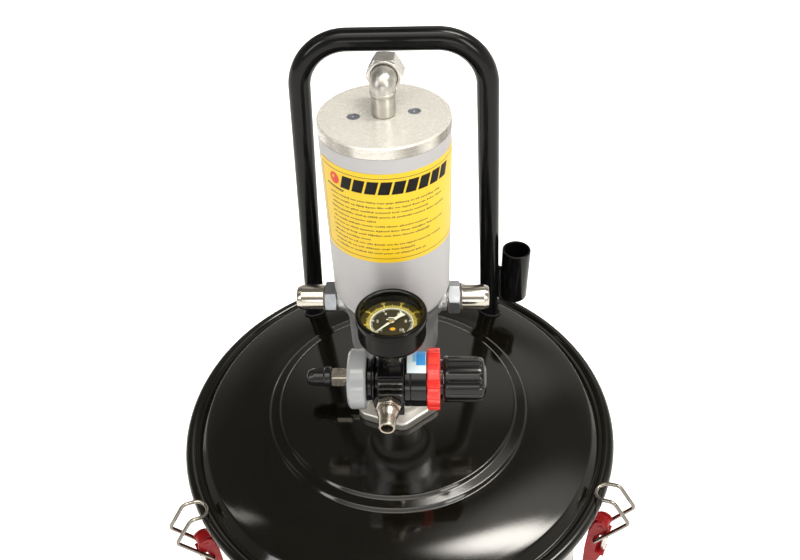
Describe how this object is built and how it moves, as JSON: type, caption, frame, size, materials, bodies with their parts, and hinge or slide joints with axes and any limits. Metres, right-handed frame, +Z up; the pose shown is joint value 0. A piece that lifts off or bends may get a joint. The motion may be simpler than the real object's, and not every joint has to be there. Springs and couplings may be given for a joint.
{
  "type": "air-operated grease pump",
  "caption": "Air-driven grease pump on the lid of a clamped round drum, with regulator, gauge, carry handle, gun holder, wire latches and swivel casters.",
  "frame": {"origin": "on the floor, on the axis shared by the drum and the pump", "axes": "+Z up along the pump; the regulator and gauge face -Y, the carry handle is on the +Y side, the regulator knob points to +X"},
  "size_m": [0.386, 0.386, 0.7765],
  "materials": {
    "black_enamel": "gloss black stoved enamel",
    "black_plastic": "satin black moulded plastic",
    "black_rubber": "black rubber",
    "red_paint": "red paint",
    "red_plastic": "red moulded plastic",
    "zinc_plate": "zinc plated steel",
    "nickel_plate": "nickel plated brass",
    "cast_aluminium": "fine cast aluminium",
    "turned_aluminium": "satin turned aluminium",
    "steel": "ground steel",
    "bronze": "bronze",
    "label_yellow": "yellow printed film with abstract bars",
    "dial_black": "black printed dial",
    "needle_white": "white paint",
    "lens_clear": "clear window",
    "grey_plastic": "grey moulded plastic",
    "wheel_grey": "dark nylon wheel",
    "nbr": "fabric reinforced rubber"
  },
  "bodies": {
    "pump_and_drum": {"drum_shell": "black_enamel", "latch_bases": "red_paint", "latch_pins": "zinc_plate", "caster_lugs": "black_enamel", "caster_kingpins": "zinc_plate", "lid_gasket": "black_rubber", "lid": "black_enamel", "carry_handle": "black_enamel", "gun_holder": "black_enamel", "bung_flange": "zinc_plate", "pump_neck": "cast_aluminium", "bleed_fitting": "nickel_plate", "bleed_cap": "black_plastic", "air_base": "cast_aluminium", "side_fittings": "nickel_plate", "side_caps": "nickel_plate", "cylinder_tube": "turned_aluminium", "cylinder_label": "label_yellow", "top_cap": "turned_aluminium", "cap_plugs": "steel", "outlet_elbow": "zinc_plate", "delivery_tube": "steel", "rod_gland": "bronze", "pump_tube": "steel", "foot_valve": "steel", "reg_body": "black_plastic", "reg_bottom_cap": "grey_plastic", "reg_bonnet": "black_plastic", "reg_ring_nut": "red_plastic", "inlet_nozzle": "nickel_plate", "air_nipple": "nickel_plate", "gauge_case": "black_plastic", "gauge_dial": "dial_black", "gauge_lens": "lens_clear", "reg_spring": "steel", "reg_diaphragm": "nbr"},
    "outlet_nut": {"outlet_nut": "zinc_plate"},
    "air_motor_rod": {"air_piston": "turned_aluminium", "piston_seal": "black_rubber", "plunger_rod": "steel"},
    "foot_ball": {"foot_ball": "steel"},
    "follower": {"follower_plate": "zinc_plate", "follower_wiper": "black_rubber"},
    "regulator_knob": {"reg_knob": "black_plastic"},
    "regulator_spindle": {"reg_spindle": "steel"},
    "gauge_needle": {"gauge_needle": "needle_white"},
    "latch_lever_1": {"latch_lever_1": "red_paint"},
    "latch_bail_1": {"latch_bail_1": "zinc_plate"},
    "latch_lever_2": {"latch_lever_2": "red_paint"},
    "latch_bail_2": {"latch_bail_2": "zinc_plate"},
    "latch_lever_3": {"latch_lever_3": "red_paint"},
    "latch_bail_3": {"latch_bail_3": "zinc_plate"},
    "caster_fork_1": {"caster_fork_1": "zinc_plate"},
    "caster_wheel_1": {"caster_wheel_1": "wheel_grey"},
    "caster_fork_2": {"caster_fork_2": "zinc_plate"},
    "caster_wheel_2": {"caster_wheel_2": "wheel_grey"},
    "caster_fork_3": {"caster_fork_3": "zinc_plate"},
    "caster_wheel_3": {"caster_wheel_3": "wheel_grey"},
    "caster_fork_4": {"caster_fork_4": "zinc_plate"},
    "caster_wheel_4": {"caster_wheel_4": "wheel_grey"}
  },
  "joints": [
    {"name": "outlet_nut_turn", "type": "hinge", "parent": "pump_and_drum", "child": "outlet_nut", "pos_m": [0.00091, 0.01297, 0.767], "axis": [0.0698, 0.9976, 0], "continuous": true},
    {"name": "piston_stroke", "type": "slide", "parent": "pump_and_drum", "child": "air_motor_rod", "axis": [0, 0, 1], "range_m": [0, 0.06]},
    {"name": "foot_ball_lift", "type": "slide", "parent": "pump_and_drum", "child": "foot_ball", "axis": [0, 0, 1], "range_m": [0, 0.004]},
    {"name": "follower_descent", "type": "slide", "parent": "pump_and_drum", "child": "follower", "axis": [0, 0, -1], "range_m": [0, 0.31]},
    {"name": "regulator_screw", "type": "hinge", "parent": "pump_and_drum", "child": "regulator_spindle", "pos_m": [0.03, -0.064, 0.594], "axis": [1, 0, 0], "range_deg": [0, 1080]},
    {"name": "regulator_knob_pull", "type": "slide", "parent": "regulator_spindle", "child": "regulator_knob", "axis": [1, 0, 0], "range_m": [0, 0.003]},
    {"name": "gauge_needle_sweep", "type": "hinge", "parent": "pump_and_drum", "child": "gauge_needle", "pos_m": [0.003, -0.064, 0.645], "axis": [0, 0, -1], "range_deg": [0, 270]},
    {"name": "latch_lever_1_swing", "type": "hinge", "parent": "pump_and_drum", "child": "latch_lever_1", "pos_m": [-0.14259, -0.09438, 0.45], "axis": [-0.5519, 0.8339, 0], "range_deg": [0, 120]},
    {"name": "latch_bail_1_swing", "type": "hinge", "parent": "latch_lever_1", "child": "latch_bail_1", "pos_m": [-0.14103, -0.09334, 0.4321], "axis": [-0.5519, 0.8339, 0], "range_deg": [-156.01, 0]},
    {"name": "latch_lever_2_swing", "type": "hinge", "parent": "pump_and_drum", "child": "latch_lever_2", "pos_m": [0.15303, -0.0763, 0.45], "axis": [-0.4462, -0.8949, 0], "range_deg": [0, 120]},
    {"name": "latch_bail_2_swing", "type": "hinge", "parent": "latch_lever_2", "child": "latch_bail_2", "pos_m": [0.15135, -0.07546, 0.4321], "axis": [-0.4462, -0.8949, 0], "range_deg": [-156.01, 0]},
    {"name": "latch_lever_3_swing", "type": "hinge", "parent": "pump_and_drum", "child": "latch_lever_3", "pos_m": [-0.01044, 0.17068, 0.45], "axis": [0.9981, 0.061, 0], "range_deg": [0, 120]},
    {"name": "latch_bail_3_swing", "type": "hinge", "parent": "latch_lever_3", "child": "latch_bail_3", "pos_m": [-0.01032, 0.1688, 0.4321], "axis": [0.9981, 0.061, 0], "range_deg": [-156.01, 0]},
    {"name": "caster_1_swivel", "type": "hinge", "parent": "pump_and_drum", "child": "caster_fork_1", "pos_m": [0.138, 0, 0.06], "axis": [0, 0, 1], "continuous": true},
    {"name": "caster_1_roll", "type": "hinge", "parent": "caster_fork_1", "child": "caster_wheel_1", "pos_m": [0.168, 0, 0.025], "axis": [0, 1, 0], "continuous": true},
    {"name": "caster_2_swivel", "type": "hinge", "parent": "pump_and_drum", "child": "caster_fork_2", "pos_m": [0, 0.138, 0.06], "axis": [0, 0, 1], "continuous": true},
    {"name": "caster_2_roll", "type": "hinge", "parent": "caster_fork_2", "child": "caster_wheel_2", "pos_m": [0, 0.168, 0.025], "axis": [-1, 0, 0], "continuous": true},
    {"name": "caster_3_swivel", "type": "hinge", "parent": "pump_and_drum", "child": "caster_fork_3", "pos_m": [-0.138, 0, 0.06], "axis": [0, 0, 1], "continuous": true},
    {"name": "caster_3_roll", "type": "hinge", "parent": "caster_fork_3", "child": "caster_wheel_3", "pos_m": [-0.168, 0, 0.025], "axis": [0, -1, 0], "continuous": true},
    {"name": "caster_4_swivel", "type": "hinge", "parent": "pump_and_drum", "child": "caster_fork_4", "pos_m": [0, -0.138, 0.06], "axis": [0, 0, 1], "continuous": true},
    {"name": "caster_4_roll", "type": "hinge", "parent": "caster_fork_4", "child": "caster_wheel_4", "pos_m": [0, -0.168, 0.025], "axis": [1, 0, 0], "continuous": true}
  ],
  "couplings": [
    {"joint": "latch_bail_1_swing", "follows": "latch_lever_1_swing", "ratio": -1.3},
    {"joint": "latch_bail_2_swing", "follows": "latch_lever_2_swing", "ratio": -1.3},
    {"joint": "latch_bail_3_swing", "follows": "latch_lever_3_swing", "ratio": -1.3}
  ]
}
